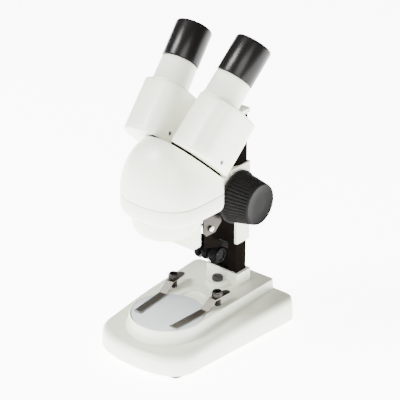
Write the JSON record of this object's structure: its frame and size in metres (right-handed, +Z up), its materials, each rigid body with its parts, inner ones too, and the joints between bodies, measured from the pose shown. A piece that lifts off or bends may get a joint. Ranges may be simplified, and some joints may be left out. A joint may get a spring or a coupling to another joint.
{
  "type": "stereo microscope",
  "caption": "White stereo microscope: inclined eyepieces on swinging prism housings, a domed head racked up and down a black column, and a stepped base with a round stage plate and clips.",
  "frame": {"origin": "on the table, in the middle of the base's footprint", "axes": "+Z up, +Y to the back of the stand, +X to the right of someone facing the front"},
  "size_m": [0.1128, 0.148, 0.2612],
  "materials": {
    "white_shell": "warm white, satin moulded plastic",
    "white_paint": "warm white enamel",
    "black_paint": "black satin enamel",
    "eyepiece_black": "black, fine satin",
    "black_plastic": "dark grey, fine grain",
    "grey_plastic": "mid grey, fine grain",
    "steel": "plain, lightly brushed",
    "dark_steel": "dark, oiled",
    "anodised": "black anodised",
    "brass": "machined",
    "rubber": "matte",
    "lens": "clear, coated",
    "opal": "frosted opal white"
  },
  "bodies": {
    "base": {"base_shell": "white_shell", "base_bottom_cover": "grey_plastic", "battery_cover": "grey_plastic", "foot_front_left": "rubber", "foot_front_right": "rubber", "foot_rear_left": "rubber", "foot_rear_right": "rubber", "cover_screw_1": "steel", "cover_screw_2": "steel", "cover_screw_3": "steel", "cover_screw_4": "steel", "battery_1": "steel", "battery_2": "steel", "battery_contact_left": "brass", "battery_contact_right": "brass", "stage_plate": "opal", "clip_screw_left": "dark_steel", "clip_screw_right": "dark_steel", "clip_spring_left": "steel", "clip_spring_right": "steel", "column": "black_paint", "rack": "dark_steel", "column_cap": "white_shell", "column_bolt": "steel", "switch_body": "black_plastic"},
    "light_switch": {"light_switch": "black_plastic"},
    "clip_left": {"clip_strip_left": "steel"},
    "clip_right": {"clip_strip_right": "steel"},
    "carriage": {"carriage_sleeve": "white_paint", "pinion_plate": "black_paint", "head_arm": "white_shell", "head_lower_shell": "white_shell", "head_dome": "white_shell", "objective_shroud": "white_shell", "objective_guard": "white_shell", "objective_barrel_left": "anodised", "objective_barrel_right": "anodised", "objective_lens_left": "lens", "objective_lens_right": "lens", "lamp_bracket": "steel", "lamp_pivot_screw": "steel"},
    "focus_drive": {"focus_shaft": "steel", "focus_pinion": "brass", "focus_knob_left": "black_plastic", "focus_knob_right": "black_plastic"},
    "prism_box_left": {"prism_housing_left": "white_shell", "prism_left": "lens", "grub_screw_left": "steel", "eye_tube_left": "white_shell"},
    "prism_box_right": {"prism_housing_right": "white_shell", "prism_right": "lens", "grub_screw_right": "steel", "eye_tube_right": "white_shell"},
    "eyepiece_left": {"eyepiece_left": "eyepiece_black", "eye_lens_left": "lens"},
    "eyepiece_right": {"eyepiece_right": "eyepiece_black", "eye_lens_right": "lens"},
    "lamp": {"lamp_yoke": "black_paint", "lamp_drum": "black_plastic", "lamp_window": "opal"}
  },
  "joints": [
    {"name": "focus_slide", "type": "slide", "parent": "base", "child": "carriage", "axis": [0, 0, 1], "range_m": [-0.014, 0.03]},
    {"name": "focus_turn", "type": "hinge", "parent": "carriage", "child": "focus_drive", "pos_m": [0, 0.04, 0.1172], "axis": [1, 0, 0], "range_deg": [-385, 180]},
    {"name": "prism_turn_left", "type": "hinge", "parent": "carriage", "child": "prism_box_left", "pos_m": [-0.02389, -0.01249, 0.16648], "axis": [-0.087, 0.6789, 0.7291], "range_deg": [-10, 10]},
    {"name": "prism_turn_right", "type": "hinge", "parent": "carriage", "child": "prism_box_right", "pos_m": [0.02389, -0.01249, 0.16648], "axis": [0.087, 0.6789, 0.7291], "range_deg": [-10, 10]},
    {"name": "eyepiece_pull_left", "type": "slide", "parent": "prism_box_left", "child": "eyepiece_left", "axis": [-0.087, 0.6789, 0.7291], "range_m": [0, 0.018]},
    {"name": "eyepiece_pull_right", "type": "slide", "parent": "prism_box_right", "child": "eyepiece_right", "axis": [0.087, 0.6789, 0.7291], "range_m": [0, 0.018]},
    {"name": "clip_swing_left", "type": "hinge", "parent": "base", "child": "clip_left", "pos_m": [-0.0237, 0.0075, 0.0389], "axis": [0, 0, 1], "range_deg": [-12, 40]},
    {"name": "clip_swing_right", "type": "hinge", "parent": "base", "child": "clip_right", "pos_m": [0.0237, 0.0075, 0.0389], "axis": [0, 0, 1], "range_deg": [-40, 12]},
    {"name": "light_switch_turn", "type": "hinge", "parent": "base", "child": "light_switch", "pos_m": [0, 0.0366, 0.036], "axis": [0, 0, 1], "range_deg": [0, 120]},
    {"name": "lamp_tilt", "type": "hinge", "parent": "carriage", "child": "lamp", "pos_m": [0, 0.0125, 0.0966], "axis": [1, 0, 0], "range_deg": [-40, 7]}
  ],
  "couplings": [
    {"joint": "focus_turn", "follows": "focus_slide", "rad_per_m": -222.22}
  ]
}
